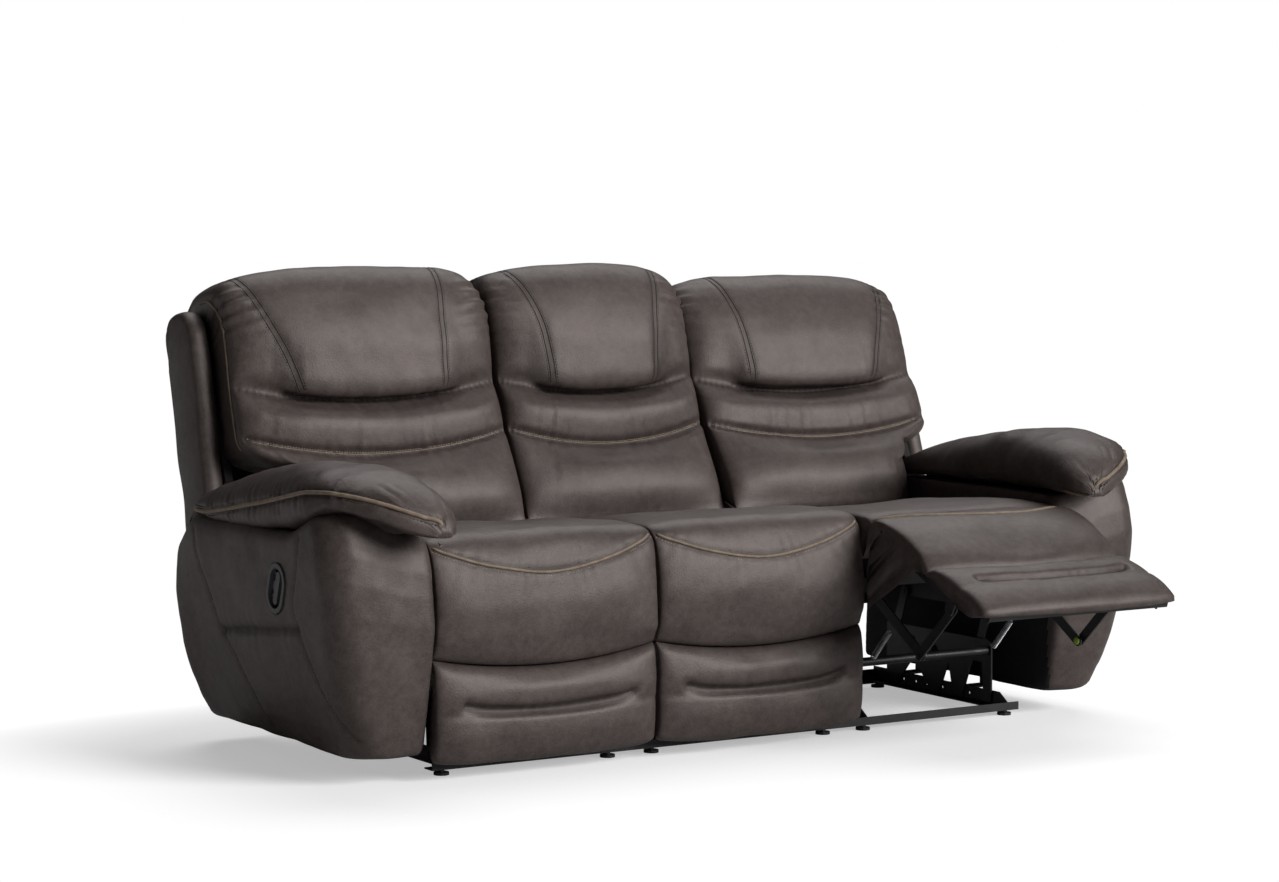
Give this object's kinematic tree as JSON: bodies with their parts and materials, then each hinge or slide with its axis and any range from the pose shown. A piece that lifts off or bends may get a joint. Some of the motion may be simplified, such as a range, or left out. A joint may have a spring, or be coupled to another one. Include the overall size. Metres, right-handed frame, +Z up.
{
  "type": "reclining sofa",
  "caption": "Three-seat reclining sofa with padded leatherette cushions, pillow arms and lever-released end seats that open a leg rest and recline.",
  "frame": {"origin": "centre of the box around the sofa at rest, on the floor plane under the glides", "axes": "+X along the sofa to its right arm as seen from the front, +Y toward its back, +Z up"},
  "size_m": [2.076, 1.4032, 1.0188],
  "materials": {
    "steel": "satin",
    "springs": "satin",
    "leatherette": "satin",
    "wood": "matte",
    "handle_plastic": "matte",
    "glide_plastic": "matte"
  },
  "bodies": {
    "base": {"arm_brackets": "steel", "arm_frames": "wood", "front_rail": "steel", "glide_feet": "glide_plastic", "left_arm_body": "leatherette", "left_arm_pad": "leatherette", "left_handle_bezel": "handle_plastic", "mechanism_bases": "steel", "mid_back_bolster": "leatherette", "mid_back_frame": "wood", "mid_back_head_roll": "leatherette", "mid_back_lumbar_roll": "leatherette", "mid_back_outer_panel": "leatherette", "mid_front_lower_pad": "leatherette", "mid_front_upper_pad": "leatherette", "mid_seat_cushion": "leatherette", "mid_seat_frame": "wood", "mid_seat_springs": "springs", "rear_rail": "steel", "right_arm_body": "leatherette", "right_arm_pad": "leatherette", "right_handle_bezel": "handle_plastic", "side_rails": "steel"},
    "left_seat": {"left_seat_frame": "steel", "left_seat_springs": "springs", "left_seat_cushion": "leatherette"},
    "left_front_swing": {"left_front_swing_links": "steel"},
    "left_rear_swing": {"left_rear_swing_links": "steel"},
    "left_drive": {"left_drive_arms": "steel"},
    "left_push": {"left_push_links": "steel"},
    "left_legrest": {"left_legrest_frame": "steel", "left_legrest_upper_pad": "leatherette"},
    "left_ottoman": {"left_ottoman_frame": "steel", "left_ottoman_pad": "leatherette"},
    "left_back": {"left_back_frame": "wood", "left_back_bolster": "leatherette", "left_back_lumbar_roll": "leatherette", "left_back_head_roll": "leatherette", "left_back_wing": "leatherette", "left_back_outer_panel": "leatherette"},
    "left_handle": {"left_handle_lever": "handle_plastic"},
    "right_seat": {"right_seat_frame": "steel", "right_seat_springs": "springs", "right_seat_cushion": "leatherette"},
    "right_front_swing": {"right_front_swing_links": "steel"},
    "right_rear_swing": {"right_rear_swing_links": "steel"},
    "right_drive": {"right_drive_arms": "steel"},
    "right_push": {"right_push_links": "steel"},
    "right_legrest": {"right_legrest_frame": "steel", "right_legrest_upper_pad": "leatherette"},
    "right_ottoman": {"right_ottoman_frame": "steel", "right_ottoman_pad": "leatherette"},
    "right_back": {"right_back_frame": "wood", "right_back_bolster": "leatherette", "right_back_lumbar_roll": "leatherette", "right_back_head_roll": "leatherette", "right_back_wing": "leatherette", "right_back_outer_panel": "leatherette"},
    "right_handle": {"right_handle_lever": "handle_plastic"}
  },
  "joints": [
    {"name": "left_front_swing", "type": "hinge", "parent": "base", "child": "left_front_swing", "pos_m": [-0.526, -0.08515, 0.148], "axis": [1, 0, 0], "range_deg": [0, 29]},
    {"name": "left_rear_swing", "type": "hinge", "parent": "base", "child": "left_rear_swing", "pos_m": [-0.526, 0.23485, 0.148], "axis": [1, 0, 0], "range_deg": [0, 29]},
    {"name": "left_seat_level", "type": "hinge", "parent": "left_front_swing", "child": "left_seat", "pos_m": [-0.526, -0.06778, 0.24648], "axis": [1, 0, 0], "range_deg": [-29, 0]},
    {"name": "left_back_recline", "type": "hinge", "parent": "left_seat", "child": "left_back", "pos_m": [-0.526, 0.35485, 0.38], "axis": [-1, 0, 0], "range_deg": [0, 28]},
    {"name": "left_legrest_open", "type": "hinge", "parent": "left_seat", "child": "left_legrest", "pos_m": [-0.526, -0.24015, 0.47], "axis": [-1, 0, 0], "range_deg": [0, 63]},
    {"name": "left_ottoman_tilt", "type": "hinge", "parent": "left_legrest", "child": "left_ottoman", "pos_m": [-0.526, -0.23115, 0.24], "axis": [-1, 0, 0], "range_deg": [0, 7]},
    {"name": "left_drive_arm_turn", "type": "hinge", "parent": "left_seat", "child": "left_drive", "pos_m": [-0.526, -0.12015, 0.357], "axis": [-1, 0, 0], "range_deg": [0, 63]},
    {"name": "left_push_link_turn", "type": "hinge", "parent": "left_drive", "child": "left_push", "pos_m": [-0.526, -0.09115, 0.066], "axis": [-1, 0, 0], "range_deg": [-63, 0]},
    {"name": "left_handle_pull", "type": "hinge", "parent": "base", "child": "left_handle", "pos_m": [-1.019, -0.03613, 0.39318], "axis": [0, 0.309, -0.9511], "range_deg": [0, 25], "stiffness_Nm_per_rad": 0.6, "springref_deg": -8.59},
    {"name": "right_front_swing", "type": "hinge", "parent": "base", "child": "right_front_swing", "pos_m": [0.526, -0.08515, 0.148], "axis": [1, 0, 0], "range_deg": [-29, 0]},
    {"name": "right_rear_swing", "type": "hinge", "parent": "base", "child": "right_rear_swing", "pos_m": [0.526, 0.23485, 0.148], "axis": [1, 0, 0], "range_deg": [-29, 0]},
    {"name": "right_seat_level", "type": "hinge", "parent": "right_front_swing", "child": "right_seat", "pos_m": [0.526, -0.11767, 0.24256], "axis": [1, 0, 0], "range_deg": [0, 29]},
    {"name": "right_back_recline", "type": "hinge", "parent": "right_seat", "child": "right_back", "pos_m": [0.526, 0.30496, 0.37608], "axis": [-1, 0, 0], "range_deg": [-8.4, 19.6]},
    {"name": "right_legrest_open", "type": "hinge", "parent": "right_seat", "child": "right_legrest", "pos_m": [0.526, -0.29004, 0.46608], "axis": [-1, 0, 0], "range_deg": [-63, 0]},
    {"name": "right_ottoman_tilt", "type": "hinge", "parent": "right_legrest", "child": "right_ottoman", "pos_m": [0.526, -0.49088, 0.35365], "axis": [-1, 0, 0], "range_deg": [-7, 0]},
    {"name": "right_drive_arm_turn", "type": "hinge", "parent": "right_seat", "child": "right_drive", "pos_m": [0.526, -0.17004, 0.35308], "axis": [-1, 0, 0], "range_deg": [-63, 0]},
    {"name": "right_push_link_turn", "type": "hinge", "parent": "right_drive", "child": "right_push", "pos_m": [0.526, -0.41616, 0.19513], "axis": [-1, 0, 0], "range_deg": [0, 63]},
    {"name": "right_handle_pull", "type": "hinge", "parent": "base", "child": "right_handle", "pos_m": [1.019, -0.03613, 0.39318], "axis": [0, -0.309, 0.9511], "range_deg": [0, 25], "stiffness_Nm_per_rad": 0.6, "springref_deg": -8.59}
  ],
  "couplings": [
    {"joint": "left_front_swing", "follows": "left_legrest_open", "ratio": 0.46},
    {"joint": "left_rear_swing", "follows": "left_legrest_open", "ratio": 0.46},
    {"joint": "left_seat_level", "follows": "left_legrest_open", "ratio": -0.46},
    {"joint": "left_ottoman_tilt", "follows": "left_legrest_open", "ratio": 0.11111},
    {"joint": "left_drive_arm_turn", "follows": "left_legrest_open", "ratio": 1},
    {"joint": "left_push_link_turn", "follows": "left_legrest_open", "ratio": -1},
    {"joint": "right_front_swing", "follows": "right_legrest_open", "ratio": 0.46},
    {"joint": "right_rear_swing", "follows": "right_legrest_open", "ratio": 0.46},
    {"joint": "right_seat_level", "follows": "right_legrest_open", "ratio": -0.46},
    {"joint": "right_ottoman_tilt", "follows": "right_legrest_open", "ratio": 0.11111},
    {"joint": "right_drive_arm_turn", "follows": "right_legrest_open", "ratio": 1},
    {"joint": "right_push_link_turn", "follows": "right_legrest_open", "ratio": -1}
  ]
}
